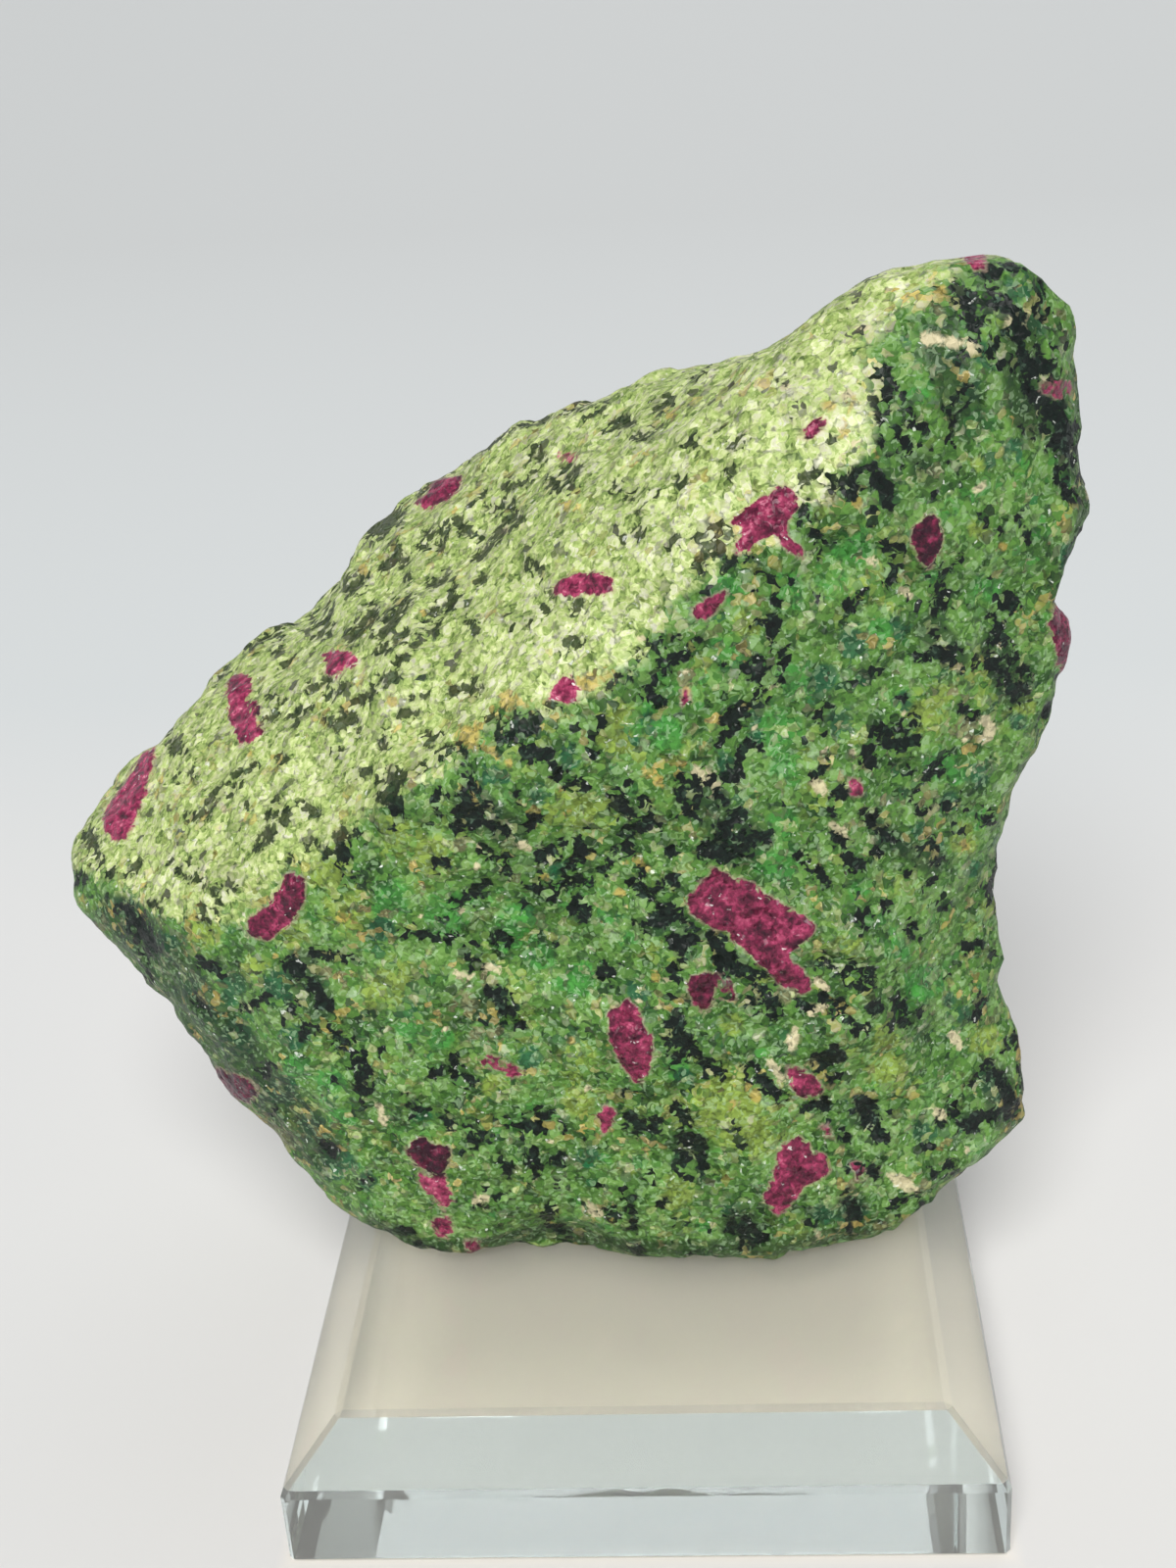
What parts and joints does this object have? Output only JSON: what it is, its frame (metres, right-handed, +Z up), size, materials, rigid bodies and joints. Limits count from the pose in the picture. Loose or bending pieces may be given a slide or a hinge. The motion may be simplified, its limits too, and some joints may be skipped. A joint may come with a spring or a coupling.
{
  "type": "ruby in zoisite specimen on a glass display block",
  "caption": "Rough lump of green zoisite with embedded rubies and dark hornblende, standing on a clear square bevelled glass block.",
  "frame": {"origin": "centre of the display block's underside", "axes": "+Z up, +X to the right and -Y to the front, towards the lump's large front face"},
  "size_m": [0.1135, 0.092, 0.1253],
  "materials": {
    "zoisite": "granular broken green zoisite with ruby and black-green hornblende",
    "glass": "polished clear glass with a faint aqua tint at its edges"
  },
  "bodies": {
    "root": {"ruby_in_zoisite_stone": "zoisite", "glass_display_block": "glass"}
  },
  "joints": []
}
